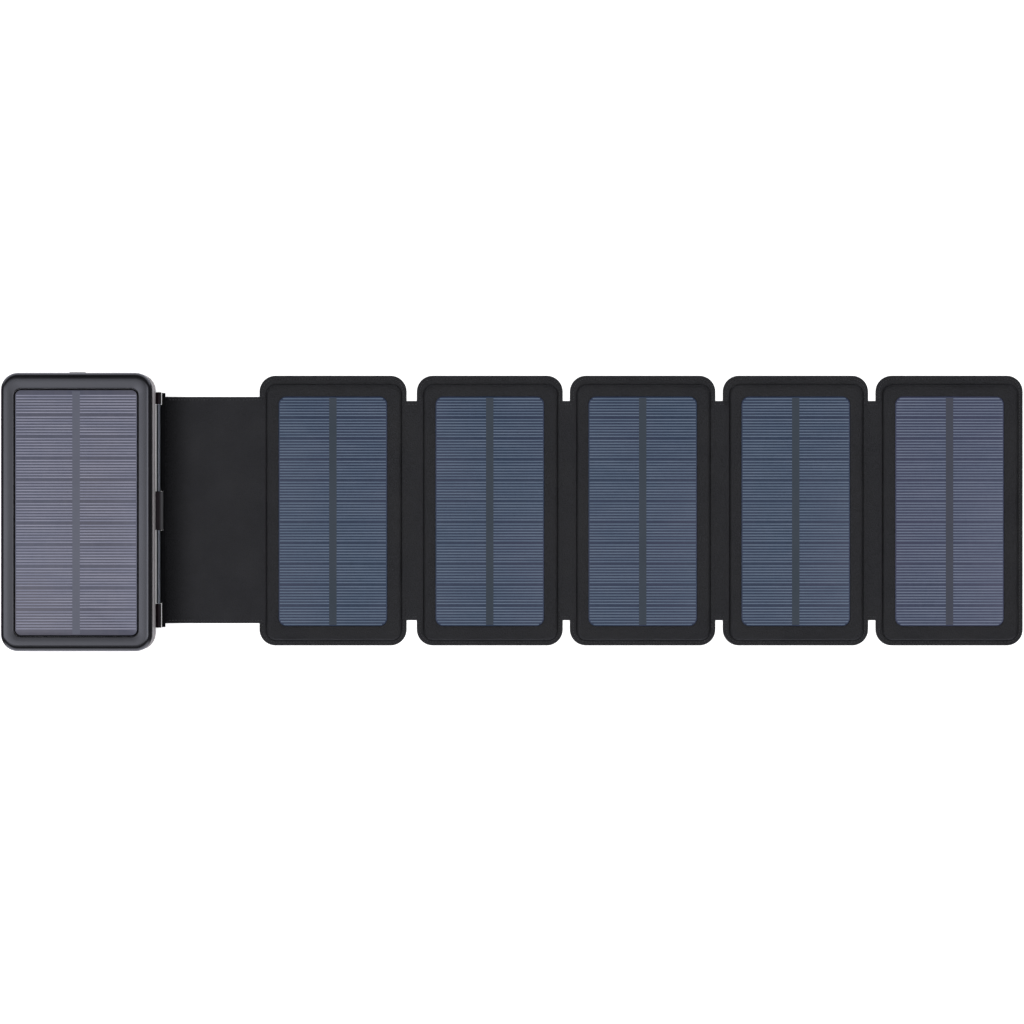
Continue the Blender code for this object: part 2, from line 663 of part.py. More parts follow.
def make_panel(number, left, right):
    name = f"panel_{number}"
    width = right - left
    middle = (left + right) / 2
    tabs = {"left_tab": tab_beside(number - 1), "right_tab": tab_beside(number)}
    cover = rounded_outline(width, PANEL_LENGTH, PANEL_CORNER, **tabs)
    back = slab(f"{name}_back_cover", cover, 0.0, BACK_THICKNESS, middle, PANEL_SHIFT)
    show_as_part(back, "leather")

    pad_width = width - PAD_LEFT - PAD_RIGHT
    pad_length = PANEL_LENGTH - PAD_TOP - PAD_BOTTOM
    pad_x = middle + (PAD_LEFT - PAD_RIGHT) / 2
    pad_y = PANEL_SHIFT + (PAD_BOTTOM - PAD_TOP) / 2
    low = BACK_THICKNESS + SHEET_GAP
    front = slab(f"{name}_front_cover", cover, low, LEATHER, middle, PANEL_SHIFT)
    pad_outline = rounded_outline(pad_width, pad_length, PAD_CORNER)
    pad = slab(f"{name}_pad", pad_outline, low, PANEL_THICKNESS, pad_x, pad_y)
    round_rim(pad, 1, PAD_EDGE, 2)
    join(front, pad)
    inner_width = pad_width - 2 * PAD_SKIN
    inner_length = pad_length - 2 * PAD_SKIN
    inner_outline = rounded_outline(inner_width, inner_length, PAD_CORNER - PAD_SKIN)
    roof = PANEL_THICKNESS - PAD_ROOF
    cut(front, slab(f"{name}_pocket", inner_outline, 0.0, roof, pad_x, pad_y))
    window = rounded_outline(WINDOW_WIDTH, WINDOW_LENGTH, WINDOW_CORNER)
    above = PANEL_THICKNESS + LEATHER
    window_y = PANEL_SHIFT + WINDOW_SHIFT
    cut(front, slab(f"{name}_window", window, 0.0, above, middle, window_y))
    show_as_part(front, "leather")

    stiff_width = inner_width - 2 * GAP
    stiff_length = inner_length - 2 * GAP
    stiff_outline = rounded_outline(stiff_width, stiff_length, PAD_CORNER - PAD_SKIN)
    stiff_top = low + STIFFENER_THICKNESS
    stiffener = slab(f"{name}_stiffener", stiff_outline, low, stiff_top, pad_x, pad_y)
    show_as_part(stiffener, "fibre_board")

    cell_low = stiff_top + SHEET_GAP
    cell_top = cell_low + CELL_THICKNESS
    cell_width = WINDOW_WIDTH + 2 * CELL_MARGIN
    cell_length = WINDOW_LENGTH + 2 * CELL_MARGIN
    cell_outline = rounded_outline(cell_width, cell_length, WINDOW_CORNER)
    cell = slab(f"{name}_solar_board", cell_outline, cell_low, cell_top, middle, window_y)
    show_as_part(cell, "cell_blue")

    film_width = WINDOW_WIDTH - 2 * GAP
    film_length = WINDOW_LENGTH - 2 * GAP
    film_outline = rounded_outline(film_width, film_length, WINDOW_CORNER - GAP)
    film_top = cell_top + SHEET_GAP + FILM_THICKNESS
    film_low = cell_top + SHEET_GAP
    film = slab(f"{name}_clear_film", film_outline, film_low, film_top, middle, window_y)
    show_as_part(film, "clear_cover")

    lead_x = left + LEAD_INSET
    half_x = LEAD_SIZE[0] / 2
    half_y = LEAD_SIZE[1] / 2
    lead_low = (lead_x - half_x, PANEL_SHIFT - half_y, cell_low)
    lead_high = (lead_x + half_x, PANEL_SHIFT + half_y, cell_low + LEAD_SIZE[2])
    lead = box(f"{name}_lead", lead_low, lead_high)
    show_as_part(lead, "lead_red")


clear_scene()
parts = new_collection("folding_solar_blanket")
cutters = new_collection("cutters")
make_rear_shell()
make_front_bezel()
make_button()
make_bank_cell()
make_pouches()
make_circuit_board()
make_sockets()
make_bracket()
make_bracket_screws()
make_pin()
for knuckle_name, knuckle_low, knuckle_high in knuckles():
    make_knuckle(knuckle_name, knuckle_low, knuckle_high)
make_edge_bar()
make_flap()
make_strips()
for panel_number, (panel_left, panel_right) in enumerate(panel_spans(), 1):
    make_panel(panel_number, panel_left, panel_right)
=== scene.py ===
"""Looks of the fold-out solar power bank: stitched leather, printed cells, plastic and steel.

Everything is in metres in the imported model's own frame: +Z up out of the cells, +X along
the opened panels, and the floor at zero.
"""

import math

import bmesh
import bpy
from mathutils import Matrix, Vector, noise


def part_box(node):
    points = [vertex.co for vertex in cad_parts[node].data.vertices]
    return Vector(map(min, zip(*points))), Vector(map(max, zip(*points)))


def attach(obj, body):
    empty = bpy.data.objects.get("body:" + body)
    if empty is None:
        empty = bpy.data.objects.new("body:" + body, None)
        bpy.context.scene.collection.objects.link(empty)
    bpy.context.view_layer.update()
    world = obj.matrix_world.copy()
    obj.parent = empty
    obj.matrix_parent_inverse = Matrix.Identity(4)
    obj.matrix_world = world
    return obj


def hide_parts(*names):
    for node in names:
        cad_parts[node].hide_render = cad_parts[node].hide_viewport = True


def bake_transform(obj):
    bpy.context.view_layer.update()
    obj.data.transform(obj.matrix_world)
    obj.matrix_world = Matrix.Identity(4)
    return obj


# Camera and studio
CAMERA_HEIGHT = 2.0
CAMERA_X = -0.0014
CAMERA_Y = 0.0
CAMERA_LENS = 124.7
FLOOR_SIZE = 12.0
SOFTBOX = (0.15, 0.95, 0.10, 1.60)
LIGHT_TINT = (0.95, 0.97, 1.12)
LIGHT_MIDDLE = 1.9
LIGHT_ENDS = 3.3
LIGHT_GLINT = 1.35
LIGHT_FAR_SIDE = 1.5
LIGHT_NEAR_SIDE = 2.0
LIGHT_UNDER = 0.2
LIGHT_ROOM = 0.03

# Meshing
CORNER_STEPS = 10
SIDE_STEP = 0.007
SHEET_STEPS = 28
SHARP_DEGREES = 38
SHARP_ANGLE = 0.6
WELD_DISTANCE = 0.000002

# Leather
BORDER_TOP = 0.0012
FRONT_LOW = 0.00065
PAD_LEFT = 0.0037
PAD_RIGHT = 0.0027
PAD_TOP = 0.005
PAD_BOTTOM = 0.0028
PAD_CORNER = 0.006
PAD_SKIN = 0.0009
LIP_THICKNESS = 0.00065
PANEL_CORNER = 0.009
WINDOW_CORNER = 0.0045
WINDOW_SPARE = 0.0003
TUCK = 0.00015
SKIN = 0.00006
STITCH_INSET = 0.0019
STITCH_PITCH = 0.0016
STITCH_LENGTH = 0.00122
STITCH_RADIUS = 0.00017
FLAP_STITCH_INSET = 0.0017
PINCH = 0.00018
PINCH_LENGTH = 0.002
FLAP_STITCH_START = 0.0055
FLAP_DROP_LENGTH = 0.0125
BAR_GRIP = 0.0006

# Cells: eleven rows in two columns, with seven printed lines in each
ROWS = 11
LINES = 7
LINE_PITCH = 0.001567
LINE_WIDTH = 0.00066
COLUMN_GAP = 0.0042
LINE_HEIGHT = 0.00002
CELL_EDGE = 0.0006

# Washers at the middle lug
WASHER = 0.0027
WASHER_PLAY = 0.00003
WASHER_THICKNESS = 0.00009
WASHER_SIDES = 32

# Power bank
BANK_CORNER = 0.0095
BANK_WINDOW_CORNER = 0.0033
PARTING_GAP = 0.0001
BUTTON_PLAY = 0.00015
BUTTON_CORNER = 0.0018
BUTTON_FLANGE = 0.0009
BANK_FIRST_LINE = 0.0030
BANK_LAST_LINE = 0.0036
BANK_EDGE = 0.0032
ROUNDING_STEPS = 14
BEZEL_WALL = 0.0035
FACE_THICKNESS = 0.0024
GROOVE = 0.0008
GROOVE_DEPTH = 0.00045

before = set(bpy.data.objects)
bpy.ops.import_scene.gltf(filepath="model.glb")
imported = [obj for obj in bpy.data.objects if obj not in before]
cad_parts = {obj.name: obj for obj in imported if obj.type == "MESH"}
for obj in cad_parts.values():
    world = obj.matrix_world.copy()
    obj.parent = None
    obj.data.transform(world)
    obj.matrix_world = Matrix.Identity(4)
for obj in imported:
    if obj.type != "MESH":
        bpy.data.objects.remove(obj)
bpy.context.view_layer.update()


# ---------------------------------------------------------------- materials


class Nodes:
    """Short helpers to build one procedural material."""

    def __init__(self, name, roughness, metallic=0.0, **sockets):
        self.material = bpy.data.materials.new(name)
        self.material.use_nodes = True
        self.tree = self.material.node_tree
        self.shader = self.tree.nodes["Principled BSDF"]
        self.shader.inputs["Roughness"].default_value = roughness
        self.shader.inputs["Metallic"].default_value = metallic
        for socket, value in sockets.items():
            self.shader.inputs[socket.replace("_", " ")].default_value = value
        self.place = self.add("ShaderNodeTexCoord").outputs["Object"]

    def add(self, kind, **values):
        node = self.tree.nodes.new(kind)
        for key, value in values.items():
            setattr(node, key, value)
        return node

    def link(self, source, target):
        self.tree.links.new(source, target)

    def stretched(self, scale):
        mapping = self.add("ShaderNodeMapping")
        mapping.inputs["Scale"].default_value = scale
        self.link(self.place, mapping.inputs["Vector"])
        return mapping.outputs["Vector"]

    def noise(self, scale, detail=3.0, place=None):
        node = self.add("ShaderNodeTexNoise")
        node.inputs["Scale"].default_value = scale
        node.inputs["Detail"].default_value = detail
        self.link(place or self.place, node.inputs["Vector"])
        return node.outputs["Fac"]

    def voronoi(self, scale):
        node = self.add("ShaderNodeTexVoronoi")
        node.inputs["Scale"].default_value = scale
        self.link(self.place, node.inputs["Vector"])
        return node.outputs["Distance"]

    def ramp(self, source, low, high, start=0.0, end=1.0):
        """Colours from low to high as the source goes from start to end."""
        node = self.add("ShaderNodeValToRGB")
        node.color_ramp.elements[0].position = start
        node.color_ramp.elements[0].color = (*low, 1.0)
        node.color_ramp.elements[1].position = end
        node.color_ramp.elements[1].color = (*high, 1.0)
        self.link(source, node.inputs["Fac"])
        return node.outputs["Color"]

    def spread(self, source, low, high):
        """A number from low to high as the source goes from 0.3 to 0.7."""
        node = self.add("ShaderNodeMapRange")
        node.inputs["From Min"].default_value = 0.3
        node.inputs["From Max"].default_value = 0.7
        node.inputs["To Min"].default_value = low
        node.inputs["To Max"].default_value = high
        self.link(source, node.inputs["Value"])
        return node.outputs["Result"]

    def along_x(self, start, end, first, second):
        """The first colour up to start and the second one past end, both being places along X."""
        place = self.add("ShaderNodeSeparateXYZ")
        self.link(self.place, place.inputs["Vector"])
        fade = self.add("ShaderNodeMapRange", interpolation_type="SMOOTHSTEP")
        fade.inputs["From Min"].default_value = start
        fade.inputs["From Max"].default_value = end
        self.link(place.outputs["X"], fade.inputs["Value"])
        mix = self.add("ShaderNodeMix", data_type="RGBA")
        self.link(fade.outputs["Result"], mix.inputs["Factor"])
        for socket, value in (("A", first), ("B", second)):
            if isinstance(value, tuple):
                mix.inputs[socket].default_value = (*value, 1.0)
            else:
                self.link(value, mix.inputs[socket])
        return mix.outputs["Result"]

    def colour(self, source):
        self.link(source, self.shader.inputs["Base Color"])

    def roughness(self, source):
        self.link(source, self.shader.inputs["Roughness"])

    def bumps(self, *layers):
        """Bump layers, each a height source with its strength and its depth in metres."""
        normal = None
        for height, strength, depth in layers:
            bump = self.add("ShaderNodeBump")
            bump.inputs["Strength"].default_value = strength
            bump.inputs["Distance"].default_value = depth
            self.link(height, bump.inputs["Height"])
            if normal is not None:
                self.link(normal, bump.inputs["Normal"])
            normal = bump.outputs["Normal"]
        self.link(normal, self.shader.inputs["Normal"])


def leather_material(name, dark, light, shine, painted_shade_span=None):
    """Black synthetic leather: fine pebbles, soft blotches and a low shine, with painted shade along X
    where a span is given.
    """
    m = Nodes(name, 0.6, Specular_IOR_Level=shine)
    blotches = m.noise(38.0, 4.0)
    pebbles = m.voronoi(1150.0)
    pores = m.noise(3200.0, 2.0)
    colour = m.ramp(blotches, dark, light, 0.3, 0.72)
    # Painted shade: near black up to the span's start along X, fading to the leather's colour by its end.
    if painted_shade_span is not None:
        colour = m.along_x(*painted_shade_span, (0.0005, 0.0005, 0.0006), colour)
    m.colour(colour)
    m.roughness(m.spread(blotches, 0.48, 0.62))
    m.bumps((pebbles, 0.7, 0.00026), (pores, 0.3, 0.0001))
    return m.material


def thread_material():
    m = Nodes("black_thread", 0.7)
    m.shader.inputs["Sheen Weight"].default_value = 0.25
    twist = m.noise(5200.0, 2.0)
    m.colour(m.ramp(twist, (0.002, 0.002, 0.002), (0.022, 0.022, 0.026), 0.3, 0.7))
    m.bumps((twist, 0.5, 0.00008))
    return m.material


def plastic_material(name, dark, light, roughness, grain=2600.0, shine=0.5, sheen=0.0):
    """Moulded plastic, with a sheen that only shows at a grazing angle."""
    m = Nodes(name, roughness, Specular_IOR_Level=shine, Sheen_Weight=sheen, Sheen_Roughness=0.3)
    m.shader.inputs["Sheen Tint"].default_value = (1.0, 0.94, 0.97, 1.0)
    cloud = m.noise(24.0, 3.0)
    fine = m.noise(grain, 2.0)
    m.colour(m.ramp(cloud, dark, light, 0.3, 0.7))
    m.roughness(m.spread(cloud, roughness - 0.03, roughness + 0.04))
    m.bumps((fine, 0.12, 0.00006))
    return m.material


def cell_material(name, dark, light, violet):
    """Silicon behind a clear laminate: blue with soft violet patches and a glossy coat."""
    m = Nodes(name, 0.35, Specular_IOR_Level=0.1)
    m.shader.inputs["Coat Weight"].default_value = 0.2
    m.shader.inputs["Coat Roughness"].default_value = 0.12
    crystals = m.noise(420.0, 4.0, m.stretched((1.0, 0.35, 1.0)))
    patches = m.noise(16.0, 2.0)
    mix = m.add("ShaderNodeMix", data_type="RGBA")
    m.link(m.spread(patches, 0.0, 0.7), mix.inputs["Factor"])
    m.link(m.ramp(crystals, dark, light, 0.3, 0.7), mix.inputs["A"])
    mix.inputs["B"].default_value = (*violet, 1.0)
    m.colour(mix.outputs["Result"])
    m.bumps((m.noise(700.0, 2.0), 0.05, 0.00005))
    return m.material


def print_material(name, dark, light):
    """Printed silver lines under the laminate."""
    m = Nodes(name, 0.35, Specular_IOR_Level=0.1)
    m.shader.inputs["Coat Weight"].default_value = 0.2
    m.shader.inputs["Coat Roughness"].default_value = 0.12
    worn = m.noise(260.0, 3.0, m.stretched((0.12, 1.0, 1.0)))
    m.colour(m.ramp(worn, dark, light, 0.35, 0.65))
    m.bumps((m.noise(2400.0, 2.0), 0.1, 0.00004))
    return m.material


def bus_material(name, dark, light):
    """The plain strip between two columns of lines."""
    return plastic_material(name, dark, light, 0.4, shine=0.08)


def steel_material(name, dark, light, roughness, along=(1.0, 0.03, 1.0), black_from=None):
    m = Nodes(name, roughness, 1.0)
    streaks = m.noise(2300.0, 3.0, m.stretched(along))
    colour = m.ramp(streaks, dark, light, 0.3, 0.7)
    if black_from is not None:
        colour = m.along_x(*black_from, colour, (0.003, 0.003, 0.003))
    m.colour(colour)
    m.roughness(m.spread(streaks, roughness - 0.05, roughness + 0.08))
    m.bumps((streaks, 0.15, 0.00004))
    return m.material


def coated_material(name, dark, light, roughness, shine=0.5, painted_light_from=None):
    """Thin black coating on steel, with a slight orange peel, and painted light: lighter grey past a given
    place along X.
    """
    m = Nodes(name, roughness, Specular_IOR_Level=shine)
    cloud = m.noise(160.0, 3.0)
    colour = m.ramp(cloud, dark, light, 0.3, 0.7)
    # Painted light: the coating turns lighter grey towards +X, standing in for the light on the lug's right
    # side.
    if painted_light_from is not None:
        colour = m.along_x(*painted_light_from, colour, (0.075, 0.075, 0.080))
    m.colour(colour)
    m.bumps((m.noise(1500.0, 2.0), 0.15, 0.00006))
    return m.material


LEATHER = leather_material("black_leather", (0.0090, 0.0090, 0.0100), (0.0150, 0.0150, 0.0160), 0.21)
# The flap's leather, with painted shade: near black by the hinge and fading out over about 20 mm, standing
# in for the bank wall's shadow.
FLAP_LEATHER = leather_material(
    "flap_leather", (0.0150, 0.0150, 0.0168), (0.0215, 0.0215, 0.0238), 0.11, (-0.1985, -0.1790)
)
THREAD = thread_material()
CASE = plastic_material("case_plastic", (0.0050, 0.0050, 0.0060), (0.0085, 0.0085, 0.0100), 0.16, sheen=0.5)
KEY = plastic_material("key_plastic", (0.012, 0.012, 0.013), (0.020, 0.020, 0.021), 0.42)
FOLD_CELL = cell_material(
    "fold_cell", (0.010, 0.024, 0.050), (0.016, 0.031, 0.062), (0.026, 0.029, 0.060)
)
FOLD_LINE = print_material("fold_lines", (0.071, 0.103, 0.156), (0.096, 0.130, 0.187))
FOLD_BUS = bus_material("fold_bus", (0.034, 0.044, 0.058), (0.042, 0.052, 0.068))
# Panel 5's cell, lines and strip: lighter copies of the fold materials, painted light for the brighter
# light on the last panel.
LAST_CELL = cell_material(
    "last_cell_painted_light", (0.022, 0.031, 0.062), (0.030, 0.039, 0.075), (0.040, 0.039, 0.075)
)
LAST_LINE = print_material("last_lines_painted_light", (0.094, 0.116, 0.174), (0.122, 0.146, 0.208))
LAST_BUS = bus_material("last_bus_painted_light", (0.046, 0.050, 0.068), (0.055, 0.059, 0.078))
BANK_CELL = cell_material(
    "bank_cell", (0.062, 0.070, 0.108), (0.080, 0.086, 0.124), (0.098, 0.092, 0.112)
)
BANK_LINE = print_material("bank_lines", (0.175, 0.182, 0.250), (0.228, 0.230, 0.300))
BANK_BUS = bus_material("bank_bus", (0.098, 0.103, 0.134), (0.114, 0.119, 0.152))
STEEL = steel_material("bright_steel", (0.34, 0.36, 0.39), (0.50, 0.52, 0.55), 0.22)
TUBE = steel_material(
    "tube_steel", (0.115, 0.122, 0.130), (0.200, 0.210, 0.222), 0.50, black_from=(-0.1992, -0.1989)
)
SOCKET = steel_material("socket_steel", (0.42, 0.43, 0.45), (0.60, 0.61, 0.62), 0.3, (1, 1, 0.05))
# The bracket's coating, with painted light on the middle lug's +X side.
COATED = coated_material(
    "black_coating", (0.006, 0.003, 0.004), (0.012, 0.006, 0.008), 0.45, 0.12, (-0.1998, -0.1982)
)
BAR = coated_material("bar_coating", (0.0012, 0.0012, 0.0014), (0.0024, 0.0024, 0.0028), 0.36, 0.03)
FOIL = steel_material("pouch_foil", (0.50, 0.51, 0.53), (0.68, 0.69, 0.70), 0.3, (0.3, 0.3, 1))
BOARD = plastic_material("board_green", (0.012, 0.070, 0.030), (0.022, 0.105, 0.048), 0.45)
FIBRE = plastic_material("fibre_board", (0.150, 0.130, 0.095), (0.230, 0.200, 0.150), 0.85, 900.0)
LEAD = plastic_material("lead_red", (0.250, 0.012, 0.012), (0.380, 0.022, 0.022), 0.5)


# ---------------------------------------------------------------- mesh building


def new_piece(name, vertices, faces, material):
    mesh = bpy.data.meshes.new(name)
    mesh.from_pydata(vertices, [], faces)
    bm = bmesh.new()
    bm.from_mesh(mesh)
    bmesh.ops.recalc_face_normals(bm, faces=bm.faces)
    bm.to_mesh(mesh)
    bm.free()
    mesh.shade_smooth()
    mesh.set_sharp_from_angle(angle=math.radians(SHARP_DEGREES))
    mesh.materials.append(material)
    piece = bpy.data.objects.new(name, mesh)
    bpy.context.scene.collection.objects.link(piece)
    return piece


def wobble(x, y, size, pitch):
    """Soft unevenness of a few hundredths of a millimetre, the same on each run."""
    return size * noise.noise(Vector((x / pitch, y / pitch, 3.7)))


class Rect:
    """A level rectangle with round corners, which can be set in or out."""

    def __init__(self, left, right, low, high, corner):
        self.sides = (left, right, low, high)
        self.corner = corner

    def inset(self, by):
        left, right, low, high = self.sides
        return Rect(left + by, right - by, low + by, high - by, max(self.corner - by, 0.0003))

    def points(self, counts):
        """Points anticlockwise: for each corner its arc, then counts points on the next side."""
        left, right, low, high = self.sides
        r = self.corner
        centres = ((right - r, high - r), (left + r, high - r), (left + r, low + r), (right - r, low + r))
        arcs = []
        for corner, (cx, cy) in enumerate(centres):
            turns = [math.pi / 2 * (corner + i / CORNER_STEPS) for i in range(CORNER_STEPS + 1)]
            arcs.append([(cx + r * math.cos(t), cy + r * math.sin(t)) for t in turns])
        points = []
        for corner, run in enumerate(arcs):
            points += run
            (x0, y0), (x1, y1) = run[-1], arcs[(corner + 1) % 4][0]
            count = counts[corner % 2]
            for i in range(1, count):
                points.append((x0 + (x1 - x0) * i / count, y0 + (y1 - y0) * i / count))
        return points

    def counts(self):
        left, right, low, high = self.sides
        return (round((right - left) / SIDE_STEP), round((high - low) / SIDE_STEP))


def loft(name, rings, material, closed_loop=False, uneven=0.0):
    """A skin over rings of (rectangle, height). A closed loop has a hole; else its ends are capped."""
    counts = rings[0][0].counts()
    vertices = []
    for rect, z in rings:
        for x, y in rect.points(counts):
            vertices.append((x, y, z + wobble(x, y, uneven, 0.013)))
    size = len(vertices) // len(rings)
    faces = []
    last = len(rings) if closed_loop else len(rings) - 1
    for ring in range(last):
        a = ring * size
        b = (ring + 1) % len(rings) * size
        for i in range(size):
            j = (i + 1) % size
            faces.append((a + i, a + j, b + j, b + i))
    if not closed_loop:
        faces.append(tuple(range(size)))
        faces.append(tuple(range(len(vertices) - size, len(vertices))))
    return new_piece(name, vertices, faces, material)


def sweep_sheet(name, xs, low_y, high_y, bottom, top, material, uneven=0.0):
    """A sheet of leather from x to x, with rounded edges along its two ends in Y."""
    ys = [low_y + (high_y - low_y) * i / SHEET_STEPS for i in range(SHEET_STEPS + 1)]
    vertices = []
    for x in xs:
        z0, z1 = bottom(x), top(x)
        middle = (z0 + z1) / 2
        half = (z1 - z0) / 2
        pull = min(half, 0.0005)
        ring = []
        for y in ys:
            inner = min(max(y, low_y + pull), high_y - pull)
            ring.append((x, inner, z1 + wobble(x, inner, uneven, 0.016)))
        ring.append((x, high_y, middle))
        for y in reversed(ys):
            inner = min(max(y, low_y + pull), high_y - pull)
            ring.append((x, inner, z0))
        ring.append((x, low_y, middle))
        vertices += ring
    size = len(vertices) // len(xs)
    faces = []
    for step in range(len(xs) - 1):
        a = step * size
        b = a + size
        faces += [(a + i, a + (i + 1) % size, b + (i + 1) % size, b + i) for i in range(size)]
    faces.append(tuple(range(size)))
    faces.append(tuple(range(len(vertices) - size, len(vertices))))
    return new_piece(name, vertices, faces, material)


def stitch(path, height):
    """Vertices and faces of one stitch between two points, dipping into the leather at its ends."""
    (x0, y0), (x1, y1) = path
    along = Vector((x1 - x0, y1 - y0, 0.0)).normalized()
    across = Vector((-along.y, along.x, 0.0))
    middle = Vector(((x0 + x1) / 2, (y0 + y1) / 2, height))
    vertices = []
    profile = [(-0.5, 0.35, -0.9), (-0.34, 0.85, -0.25), (0.0, 1.0, 0.1)]
    profile += [(0.34, 0.85, -0.25), (0.5, 0.35, -0.9)]
    for place, girth, lift in profile:
        centre = middle + along * (place * STITCH_LENGTH)
        centre.z += lift * STITCH_RADIUS
        for i in range(6):
            turn = math.pi / 3 * i
            side = across * math.cos(turn) + Vector((0, 0, 1)) * math.sin(turn)
            vertices.append(centre + side * (girth * STITCH_RADIUS))
    faces = []
    for ring in range(4):
        for i in range(6):
            a = ring * 6 + i
            b = ring * 6 + (i + 1) % 6
            faces.append((a, b, b + 6, a + 6))
    faces.append(tuple(range(6)))
    faces.append(tuple(range(24, 30)))
    return vertices, faces


def stitches(name, path, heights):
    """A row of stitches along a path of (x, y) points. heights gives the leather's height at x."""
    spots = []
    carried = 0.0
    for (x0, y0), (x1, y1) in zip(path, path[1:]):
        run = math.hypot(x1 - x0, y1 - y0)
        place = carried
        while place < run:
            spots.append((x0 + (x1 - x0) * place / run, y0 + (y1 - y0) * place / run))
            place += STITCH_PITCH
        carried = place - run
    vertices = []
    faces = []
    for start, end in zip(spots, spots[1:]):
        more, shapes = stitch((start, end), heights((start[0] + end[0]) / 2))
        shift = len(vertices)
        vertices += more
        faces += [tuple(shift + i for i in face) for face in shapes]
    return new_piece(name, vertices, faces, THREAD)


def bars(name, boxes, material):
    """Many thin boxes as one piece, each given as (left, right, low, high, bottom, top)."""
    vertices = []
    faces = []
    for left, right, low, high, bottom, top in boxes:
        a = len(vertices)
        for z in (bottom, top):
            vertices += [(left, low, z), (right, low, z), (right, high, z), (left, high, z)]
        faces += [(a, a + 3, a + 2, a + 1), (a + 4, a + 5, a + 6, a + 7)]
        faces += [(a + i, a + (i + 1) % 4, a + 4 + (i + 1) % 4, a + 4 + i) for i in range(4)]
    return new_piece(name, vertices, faces, material)


def node_rect(node, corner):
    low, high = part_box(node)
    return Rect(low[0], high[0], low[1], high[1], corner)


def smooth_by_angle():
    """A modifier's node group that shades joined faces smoothly, but for edges past SHARP_ANGLE."""
    tree = bpy.data.node_groups.new("smooth_by_angle", "GeometryNodeTree")
    for in_out in ("INPUT", "OUTPUT"):
        tree.interface.new_socket("Geometry", in_out=in_out, socket_type="NodeSocketGeometry")
    start = tree.nodes.new("NodeGroupInput")
    end = tree.nodes.new("NodeGroupOutput")
    plain = tree.nodes.new("GeometryNodeRemoveAttribute")
    plain.inputs["Name"].default_value = "custom_normal"
    smooth = tree.nodes.new("GeometryNodeSetShadeSmooth")
    sharpen = tree.nodes.new("GeometryNodeSetShadeSmooth")
    sharpen.domain = "EDGE"
    sharpen.inputs["Shade Smooth"].default_value = False
    angle = tree.nodes.new("GeometryNodeInputMeshEdgeAngle")
    sharp = tree.nodes.new("FunctionNodeCompare")
    sharp.inputs["B"].default_value = SHARP_ANGLE
    tree.links.new(angle.outputs["Unsigned Angle"], sharp.inputs["A"])
    tree.links.new(start.outputs["Geometry"], plain.inputs["Geometry"])
    tree.links.new(plain.outputs["Geometry"], smooth.inputs["Geometry"])
    tree.links.new(smooth.outputs["Geometry"], sharpen.inputs["Geometry"])
    tree.links.new(sharp.outputs["Result"], sharpen.inputs["Selection"])
    tree.links.new(sharpen.outputs["Geometry"], end.inputs["Geometry"])
    return tree


def keep(node, material):
    """Show a CAD node with this material, smoothly shaded."""
    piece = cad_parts[node]
    piece.data.materials.clear()
    piece.data.materials.append(material)
    piece.modifiers.new("joined_faces", "WELD").merge_threshold = WELD_DISTANCE
    piece.modifiers.new("smooth_shading", "NODES").node_group = SMOOTH_SHADING


def place(piece, body, slot, *nodes):
    """Let the piece ride on a body and stand for these nodes, which are hidden. The slot is not used."""
    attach(piece, body)
    if nodes:
        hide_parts(*nodes)


# ---------------------------------------------------------------- cells


def cell_lines(name, rect, top, margin_top, row_pitch, body, slot, materials):
    """Rows of printed lines in two columns, with the plain strip between the columns."""
    left, right, low, high = rect.sides
    middle = (left + right) / 2
    line_material, bus_material = materials
    half_gap = COLUMN_GAP / 2
    columns = ((left + CELL_EDGE, middle - half_gap), (middle + half_gap, right - CELL_EDGE))
    boxes = []
    half = LINE_WIDTH / 2
    for row in range(ROWS):
        for line in range(LINES):
            y = high - margin_top - row * row_pitch - line * LINE_PITCH
            near = min(high - y, y - low) - half
            short = max(rect.corner - near, 0.0)
            pull = rect.corner - math.sqrt(rect.corner**2 - min(short, rect.corner) ** 2)
            ends = ((columns[0][0] + pull, columns[0][1]), (columns[1][0], columns[1][1] - pull))
            for start, end in ends:
                boxes.append((start, end, y - half, y + half, top - LINE_HEIGHT, top + LINE_HEIGHT))
    place(bars(f"{name}_lines", boxes, line_material), body, slot)
    bottom, roof = top - LINE_HEIGHT, top + LINE_HEIGHT
    plain = [(middle - half_gap, middle + half_gap, low + CELL_EDGE, high - CELL_EDGE, bottom, roof)]
    place(bars(f"{name}_bus", plain, bus_material), body, slot)


def panel_cells(number, window):
    name = f"panel_{number}"
    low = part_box(f"{name}_clear_film")[0][2]
    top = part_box(f"{name}_clear_film")[1][2] - 0.00002
    face = window.inset(0.00015)
    rings = [(face, low), (face, top - 0.00012)]
    rings += [(face.inset(0.0001), top - 0.00003), (face.inset(0.00035), top)]
    # Panel 5 takes the lighter copies, which are painted light.
    materials = (LAST_CELL, LAST_LINE, LAST_BUS) if number == 5 else (FOLD_CELL, FOLD_LINE, FOLD_BUS)
    slab = loft(f"{name}_laminate", rings, materials[0])
    place(slab, name, "panel_cell", f"{name}_clear_film")
    high = window.sides[3] - window.sides[2]
    row_pitch = high / ROWS
    spare = row_pitch - (LINES - 1) * LINE_PITCH
    cell_lines(name, face, top, spare / 2, row_pitch, name, "panel_cell", materials[1:])
    keep(f"{name}_solar_board", materials[0])


# ---------------------------------------------------------------- panels


